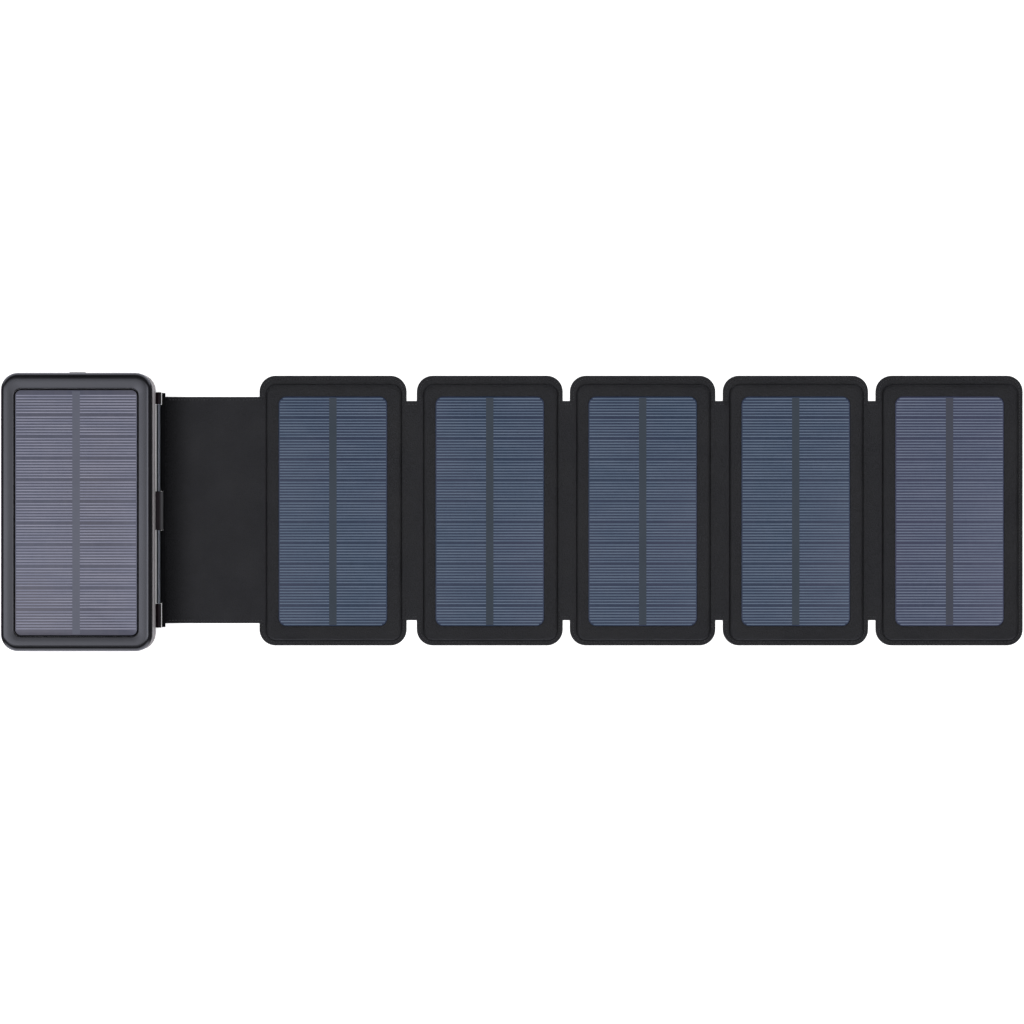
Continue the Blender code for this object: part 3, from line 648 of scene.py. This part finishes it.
def find_outlines():
    """Outline of each panel, without the half strips that some covers carry."""
    spans = {}
    for number in range(1, 6):
        low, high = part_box(f"panel_{number}_front_cover")
        left, right = low[0], high[0]
        film_low, film_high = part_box(f"panel_{number}_clear_film")
        middle = (film_low[0] + film_high[0]) / 2
        half = min(middle - left, right - middle)
        spans[number] = Rect(middle - half, middle + half, low[1], high[1], PANEL_CORNER)
    return spans


def window_of(number):
    low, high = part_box(f"panel_{number}_clear_film")
    by = WINDOW_SPARE
    return Rect(low[0] - by, high[0] + by, low[1] - by, high[1] + by, WINDOW_CORNER)


def pad_of(outline):
    left, right, low, high = outline.sides
    return Rect(left + PAD_LEFT, right - PAD_RIGHT, low + PAD_BOTTOM, high - PAD_TOP, PAD_CORNER)


def make_front_leather(number):
    """Border, stitch groove, crease, raised pad and window lip, as one closed skin."""
    outline = outlines[number]
    pad = pad_of(outline)
    window = window_of(number)
    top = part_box(f"panel_{number}_front_cover")[1][2]
    roof = top - LIP_THICKNESS
    edge = ((0.0005, 0.00065), (0.00015, 0.00072), (0.0, 0.0009), (0.0001, 0.00108), (0.0004, 0.00118))
    border = ((0.0011, 0.00124), (0.0016, 0.00119), (0.0019, 0.00108), (0.0022, 0.00118), (0.0025, 0.00122))
    rise = ((-0.0003, 0.00118), (0.0, 0.00102), (0.00015, 0.0016), (0.0004, 0.0024), (0.0009, 0.0029))
    crown = ((0.0017, 0.0031), (0.0030, 0.0032))
    lip = ((0.0022, 0.00319), (0.0011, 0.00314), (0.0005, 0.00310), (0.00012, 0.00302), (0.0, 0.00285))
    rings = [(window, roof), (pad.inset(PAD_SKIN), roof), (pad.inset(PAD_SKIN), FRONT_LOW)]
    rings += [(outline.inset(by), z) for by, z in edge + border]
    rings += [(pad.inset(by), z) for by, z in rise + crown]
    rings += [(window.inset(-by), z) for by, z in lip]
    piece = loft(f"panel_{number}_leather", rings, LEATHER, closed_loop=True, uneven=0.00006)
    place(piece, f"panel_{number}", "panel_leather", f"panel_{number}_front_cover")


def make_back_leather(number):
    outline = outlines[number]
    edge = ((0.0006, 0.0), (0.0002, 0.00006), (0.0, 0.00022), (0.00005, 0.00042), (0.0003, 0.0005))
    rings = [(outline.inset(by), z) for by, z in edge]
    piece = loft(f"panel_{number}_backing", rings, LEATHER)
    place(piece, f"panel_{number}", "panel_leather", f"panel_{number}_back_cover")
    left, right, low, high = outline.sides


def corner_path(outline, right, top, inner_y):
    """Stitch path round one corner, from the fold strip's end out to the middle of the short side."""
    row = outline.inset(STITCH_INSET)
    left_x, right_x, low_y, high_y = row.sides
    x = right_x if right else left_x
    sx = 1 if right else -1
    sy = 1 if top else -1
    r = row.corner
    y = high_y if top else low_y
    centre = (x - sx * r, y - sy * r)
    middle = (left_x + right_x) / 2
    turns = [math.pi / 2 * i / CORNER_STEPS for i in range(CORNER_STEPS + 1)]
    arc = [(centre[0] + sx * r * math.cos(t), centre[1] + sy * r * math.sin(t)) for t in turns]
    return [(x, inner_y)] + arc + [(middle, y)]


def stitch_rows(ends, inset):
    """Where the two rows of stitches run along a strip with these ends."""
    return (ends[0] + inset, ends[1] - inset)


def make_panel_stitching(number):
    """Two rows, one round each end of the panel, that stop where the strips carry them on."""
    outline = outlines[number]
    middle = (outline.sides[2] + outline.sides[3]) / 2
    strip_rows = stitch_rows(strip_ends, STITCH_INSET)
    left_rows = stitch_rows(flap_ends, FLAP_STITCH_INSET) if number == 1 else strip_rows
    right_rows = (middle, middle) if number == 5 else strip_rows
    for side, name in enumerate(("bottom", "top")):
        path = corner_path(outline, True, side == 1, right_rows[side])
        path += reversed(corner_path(outline, False, side == 1, left_rows[side])[:-1])
        row = stitches(f"panel_{number}_stitching_{name}", path, lambda x: BORDER_TOP)
        place(row, f"panel_{number}", "panel_leather")


# ---------------------------------------------------------------- strips and flap


def join_pieces(main, *others):
    """Add the meshes of the others to the main piece, keeping their materials."""
    bm = bmesh.new()
    bm.from_mesh(main.data)
    for other in others:
        count = len(bm.faces)
        if other.data.materials[0].name not in [m.name for m in main.data.materials]:
            main.data.materials.append(other.data.materials[0])
        index = [m.name for m in main.data.materials].index(other.data.materials[0].name)
        bm.from_mesh(other.data)
        bm.faces.ensure_lookup_table()
        for face in bm.faces[count:]:
            face.material_index = index
        bpy.data.objects.remove(other)
    bm.to_mesh(main.data)
    bm.free()
    return main


def even(start, end, step):
    count = max(2, math.ceil((end - start) / step))
    return [start + (end - start) * i / count for i in range(count + 1)]


def strip_profile(first, second):
    """Bottom and top of the strip between two panel outlines; over their borders it is a thin skin."""

    def bottom(x):
        return 0.0 if first <= x <= second else BORDER_TOP - SKIN

    def top(x):
        middle = (first + second) / 2
        near = abs(x - middle) / ((second - first) / 2 + 0.001)
        return BORDER_TOP + SKIN - 0.00018 * max(0.0, 1 - near**2)

    return bottom, top


def make_fold(number, axes):
    """The leather between two panels, split at each body's middle into pieces."""
    first = outlines[number].sides[1]
    second = outlines[number + 1].sides[0]
    bottom, top = strip_profile(first, second)
    start = first - PAD_RIGHT + TUCK
    end = second + PAD_LEFT - TUCK
    cuts = [start] + [(a + b) / 2 for a, b in zip(axes, axes[1:])] + [end]
    for part, (x0, x1) in enumerate(zip(cuts, cuts[1:])):
        xs = sorted(set(even(x0, x1, 0.00045) + [x for x in (first, second) if x0 < x < x1]))
        name = f"fold_{number}{number + 1}_leather_{part + 1}"
        piece = sweep_sheet(name, xs, *strip_ends, bottom, top, LEATHER, 0.00005)
        rows = []
        for side, y in enumerate(stitch_rows(strip_ends, STITCH_INSET)):
            row_start = max(x0, first - STITCH_INSET + STITCH_PITCH / 2)
            row_end = min(x1, second + STITCH_INSET)
            path = [(x, y) for x in even(row_start, row_end, STITCH_PITCH)]
            rows.append(stitches(f"{name}_{side}", path, top))
        join_pieces(piece, *rows)
        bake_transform(piece)
        if len(axes) == 2 and part == 0:
            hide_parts(f"fold_strip_{number}{number + 1}")


def flap_height(x):
    """Height of the middle of the flap's leather: held in the bar, then sinking to the floor."""
    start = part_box("flap_edge_bar")[1][0] - BAR_GRIP
    share = min(max((x - start) / FLAP_DROP_LENGTH, 0.0), 1.0)
    drop = share * share * (3 - 2 * share)
    return hinge_z + (BORDER_TOP / 2 - hinge_z) * drop


def flap_half_thickness(x):
    """Half the leather's thickness, pinched a little where the bar holds it."""
    near_bar = 1.0 - (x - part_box("flap_edge_bar")[1][0]) / PINCH_LENGTH
    return BORDER_TOP / 2 - PINCH * min(max(near_bar, 0.0), 1.0)


def flap_top(x):
    if x > outlines[1].sides[0]:
        return BORDER_TOP + SKIN
    return flap_height(x) + flap_half_thickness(x)


def flap_bottom(x):
    if x > outlines[1].sides[0]:
        return BORDER_TOP - SKIN
    return flap_height(x) - flap_half_thickness(x)


def make_flap():
    """The plain leather between bank and panels, as three pieces cut between the joints."""
    step = (outlines[1].sides[0] - hinge_x) / 3
    axes = [hinge_x + step, hinge_x + 2 * step, hinge_x + 3 * step]
    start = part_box("flap_leather_a")[0][0]
    end = outlines[1].sides[0] + PAD_LEFT - TUCK
    cuts = [start, axes[0] + step / 2, axes[1] + step / 2, end]
    replaced = [("flap_leather_a", "flap_leather_b"), ("flap_leather_c",), ()]
    for part, (x0, x1) in enumerate(zip(cuts, cuts[1:])):
        name = f"flap_part_{part + 1}"
        xs = even(x0, x1, 0.0008)
        piece = sweep_sheet(name, xs, *flap_ends, flap_bottom, flap_top, FLAP_LEATHER, 0.00012)
        rows = []
        for side, y in enumerate(stitch_rows(flap_ends, FLAP_STITCH_INSET)):
            row_start = max(x0, hinge_x + FLAP_STITCH_START)
            row_end = min(x1, outlines[1].sides[0] + STITCH_INSET)
            path = [(x, y) for x in even(row_start, row_end, STITCH_PITCH)]
            rows.append(stitches(f"{name}_{side}", path, flap_top))
        join_pieces(piece, *rows)
        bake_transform(piece)
        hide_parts(*replaced[part])


# ---------------------------------------------------------------- power bank


def cut_button_hole(bezel, wall_y):
    """Cut the power button's hole through the bezel's +Y wall, with a little play round the key."""
    low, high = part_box("power_button")
    by = BUTTON_FLANGE - BUTTON_PLAY
    corner = BUTTON_CORNER + BUTTON_PLAY
    hole = Rect(low[0] + by, high[0] - by, low[2] + by, high[2] - by, corner)
    depths = (wall_y - BEZEL_WALL - 0.001, wall_y + 0.001)
    cutter = loft("button_cutter", [(hole, depth) for depth in depths], CASE)
    for vertex in cutter.data.vertices:
        x, z, y = vertex.co
        vertex.co = (x, y, z)
    cutter.data.flip_normals()
    cut = bezel.modifiers.new("button_hole", "BOOLEAN")
    cut.object = cutter
    cut.operation = "DIFFERENCE"
    cut.solver = "EXACT"
    shape = bezel.evaluated_get(bpy.context.evaluated_depsgraph_get())
    bezel.data = bpy.data.meshes.new_from_object(shape)
    bezel.modifiers.clear()
    bezel.data.set_sharp_from_angle(angle=math.radians(SHARP_DEGREES))
    bpy.data.objects.remove(cutter)


def make_bank_case():
    """Front bezel and rear shell with smooth rounded edges, and the groove round the cell, with painted
    shade deep in it.
    """
    outer = node_rect("bank_front_bezel", BANK_CORNER)
    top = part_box("bank_front_bezel")[1][2]
    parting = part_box("bank_rear_shell")[1][2]
    cover = node_rect("bank_solar_cover", BANK_WINDOW_CORNER)
    window = cover.inset(-GROOVE)
    hollow = outer.inset(BEZEL_WALL)
    roof = top - FACE_THICKNESS
    rings = [(outer.inset(0.0004), parting + PARTING_GAP), (outer.inset(0.0001), parting + 0.0003)]
    rings.append((outer, parting + 0.0007))
    for i in range(ROUNDING_STEPS + 1):
        turn = math.pi / 2 * i / ROUNDING_STEPS
        by = BANK_EDGE * (1 - math.cos(turn))
        rings.append((outer.inset(by), top - BANK_EDGE - 0.00004 + BANK_EDGE * math.sin(turn)))
    rings += [(outer.inset(BANK_EDGE + by), z + top) for by, z in ((0.0002, -0.00001), (0.0005, 0.0))]
    lip = ((0.0005, 0.0), (0.00018, -0.00006), (0.0, -0.00025))
    rings += [(window.inset(-by), z + top) for by, z in lip]
    rings += [(window, roof), (hollow, roof), (hollow, parting + PARTING_GAP)]
    bezel = loft("bank_bezel", rings, CASE, closed_loop=True)
    cut_button_hole(bezel, outer.sides[3])
    place(bezel, "bank", "bank_plastic", "bank_front_bezel")
    # Painted shade: a black filling in the groove below GROOVE_DEPTH stands in for the shade deep in the
    # groove.
    groove_shade_top = top - GROOVE_DEPTH
    groove_shade_rings = [(cover.inset(-SKIN), groove_shade_top), (cover.inset(-SKIN), roof), (window.inset(SKIN), roof)]
    groove_shade_rings.append((window.inset(SKIN), groove_shade_top))
    place(loft("bank_groove_shade", groove_shade_rings, BAR, closed_loop=True), "bank", "bank_plastic")
    keep("bank_rear_shell", CASE)


def make_bank_cell():
    low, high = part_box("bank_solar_cover")
    face = node_rect("bank_solar_cover", BANK_WINDOW_CORNER)
    top = high[2] - 0.0001
    rings = [(face, low[2]), (face, top - 0.0003)]
    rings += [(face.inset(0.0001), top - 0.00008), (face.inset(0.00035), top)]
    slab = loft("bank_cell_cover", rings, BANK_CELL)
    place(slab, "bank", "bank_clear_cover", "bank_solar_cover")
    length = face.sides[3] - face.sides[2]
    row_pitch = (length - BANK_FIRST_LINE - BANK_LAST_LINE - (LINES - 1) * LINE_PITCH) / (ROWS - 1)
    cell_lines("bank", face, top, BANK_FIRST_LINE, row_pitch, "bank", "bank_cell", (BANK_LINE, BANK_BUS))
    keep("bank_solar_board", BANK_CELL)


def make_washers():
    """A thin black washer in the gap at each end of the middle lug."""
    ends = [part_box(f"hinge_knuckle_{part}")[side][1] for part, side in (("lower", 1), ("upper", 0))]
    turns = [math.tau * i / WASHER_SIDES for i in range(WASHER_SIDES)]
    circle = [(hinge_x + WASHER * math.cos(t), hinge_z + WASHER * math.sin(t)) for t in turns]
    n = WASHER_SIDES
    faces = [(i, (i + 1) % n, n + (i + 1) % n, n + i) for i in range(n)]
    faces += [tuple(range(n)), tuple(range(n, 2 * n))]
    for number, (y, side) in enumerate(zip(ends, (1, -1)), 1):
        low, high = y + side * WASHER_PLAY, y + side * (WASHER_PLAY + WASHER_THICKNESS)
        vertices = [(x, low, z) for x, z in circle] + [(x, high, z) for x, z in circle]
        place(new_piece(f"lug_washer_{number}", vertices, faces, BAR), "bank", "black_steel")


def make_hinge():
    """The CAD's tubes, bracket, bar, pin and screws, and two washers that it doesn't have."""
    make_washers()
    for part in ("upper", "lower"):
        keep(f"hinge_knuckle_{part}", TUBE)
    keep("hinge_pin", STEEL)
    keep("hinge_bracket", COATED)
    keep("flap_edge_bar", BAR)
    for number in (1, 2):
        keep(f"hinge_screw_{number}", STEEL)


def make_inner_parts():
    keep("power_button", KEY)
    keep("circuit_board", BOARD)
    keep("button_switch", BAR)
    for number in (1, 2):
        keep(f"battery_pouch_{number}", FOIL)
        keep(f"usb_a_socket_{number}", SOCKET)
    keep("usb_c_socket", SOCKET)
    for number in range(1, 6):
        keep(f"panel_{number}_stiffener", FIBRE)
        keep(f"panel_{number}_lead", LEAD)


# ---------------------------------------------------------------- studio


def make_floor():
    half = FLOOR_SIZE / 2
    floor = bars("studio_floor", [(-half, half, -half, half, -0.02, -0.0002)], floor_material())
    floor.visible_glossy = False


def floor_material():
    m = Nodes("studio_floor", 0.9, Specular_IOR_Level=0.1)
    m.shader.inputs["Emission Color"].default_value = (1.0, 1.0, 1.0, 1.0)
    m.shader.inputs["Emission Strength"].default_value = 0.6
    m.colour(m.ramp(m.noise(2.0, 2.0), (0.88, 0.88, 0.88), (0.92, 0.92, 0.92), 0.3, 0.7))
    return m.material


def make_world():
    """Wide soft light from above, and in reflections a strip light along X over a dark room.

    The camera itself sees a plain white backdrop.
    """
    world = bpy.data.worlds.new("studio")
    bpy.context.scene.world = world
    world.use_nodes = True
    tree = world.node_tree
    tree.nodes.clear()

    def add(kind, **values):
        node = tree.nodes.new(kind)
        for key, value in values.items():
            setattr(node, key, value)
        return node

    def link(source, target):
        tree.links.new(source, target)

    def smooth(source, start, end, low, high):
        """From low to high as the source goes from start to end, where start is the smaller."""
        node = add("ShaderNodeMapRange", interpolation_type="SMOOTHSTEP")
        for socket, value in zip(("From Min", "From Max", "To Min", "To Max"), (start, end, low, high)):
            node.inputs[socket].default_value = value
        link(source, node.inputs["Value"])
        return node.outputs["Result"]

    def combine(operation, *values):
        result = values[0]
        for value in values[1:]:
            node = add("ShaderNodeMath", operation=operation)
            link(result, node.inputs[0])
            link(value, node.inputs[1])
            result = node.outputs["Value"]
        return result

    def size(source):
        node = add("ShaderNodeMath", operation="ABSOLUTE")
        link(source, node.inputs[0])
        return node.outputs["Value"]

    def lit(strength, tint=(1.0, 1.0, 1.0)):
        node = add("ShaderNodeBackground")
        node.inputs["Color"].default_value = (*tint, 1.0)
        link(strength, node.inputs["Strength"])
        return node.outputs["Background"]

    def mixed(factor, first, second):
        node = add("ShaderNodeMixShader")
        link(factor, node.inputs["Fac"])
        link(first, node.inputs[1])
        link(second, node.inputs[2])
        return node.outputs["Shader"]

    split = add("ShaderNodeSeparateXYZ")
    link(add("ShaderNodeTexCoord").outputs["Generated"], split.inputs["Vector"])
    x, y, z = (split.outputs[axis] for axis in "XYZ")
    strip_light = combine(
        "MULTIPLY",
        smooth(size(y), 0.12, 0.30, 1.0, 0.0),
        smooth(z, 0.38, 0.64, 0.0, 1.0),
        smooth(x, 0.46, 0.66, 1.0, 0.0),
        smooth(size(x), 0.03, 0.24, LIGHT_MIDDLE, LIGHT_ENDS),
        smooth(x, 0.14, 0.30, 1.0, LIGHT_GLINT),
        smooth(y, 0.022, 0.045, 1.0, 0.48),
    )
    far_band = smooth(y, 0.25, 0.5, 0.0, LIGHT_FAR_SIDE)
    far_side = combine("MULTIPLY", far_band, smooth(z, 0.05, 0.35, 1.0, 0.0))
    near_band = smooth(y, -0.7, -0.4, LIGHT_NEAR_SIDE, 0.0)
    near_side = combine("MULTIPLY", near_band, smooth(z, 0.3, 0.6, 1.0, 0.0))
    under = combine("MULTIPLY", smooth(x, 0.0, 0.12, 0.0, LIGHT_UNDER), smooth(z, -0.97, -0.86, 1.0, 0.0))
    room = smooth(z, -1.0, 0.0, LIGHT_ROOM, 2 * LIGHT_ROOM)
    reflected = combine("ADD", strip_light, far_side, near_side, under, room)
    overhead = smooth(z, *SOFTBOX)
    ray = add("ShaderNodeLightPath")
    objects = mixed(ray.outputs["Is Glossy Ray"], lit(overhead), lit(reflected, LIGHT_TINT))
    seen = mixed(ray.outputs["Is Camera Ray"], objects, add("ShaderNodeBackground").outputs["Background"])
    link(seen, add("ShaderNodeOutputWorld").inputs["Surface"])


def make_camera():
    data = bpy.data.cameras.new("camera")
    data.lens = CAMERA_LENS
    data.sensor_width = 36.0
    data.clip_end = 50.0
    camera = bpy.data.objects.new("camera", data)
    camera.location = (CAMERA_X, CAMERA_Y, CAMERA_HEIGHT)
    bpy.context.scene.collection.objects.link(camera)
    bpy.context.scene.camera = camera
    bpy.context.scene.view_settings.view_transform = "Standard"


SMOOTH_SHADING = smooth_by_angle()
make_camera()
make_world()
make_floor()
hinge_low, hinge_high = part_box("hinge_pin")
hinge_x = (hinge_low[0] + hinge_high[0]) / 2
hinge_z = (hinge_low[2] + hinge_high[2]) / 2
strip_ends = [corner[1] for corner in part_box("fold_strip_12")]
flap_ends = [corner[1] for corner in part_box("flap_leather_b")]
outlines = find_outlines()
make_bank_case()
make_bank_cell()
make_hinge()
make_inner_parts()
for panel in range(1, 6):
    make_front_leather(panel)
    make_back_leather(panel)
    make_panel_stitching(panel)
    panel_cells(panel, window_of(panel))
for panel, strip in ((1, "strip_12"), (3, "strip_34")):
    axis_xs = [outlines[panel].sides[1], outlines[panel + 1].sides[0]]
    make_fold(panel, axis_xs)
for panel in (2, 4):
    axis_xs = [(outlines[panel].sides[1] + outlines[panel + 1].sides[0]) / 2]
    make_fold(panel, axis_xs)
make_flap()
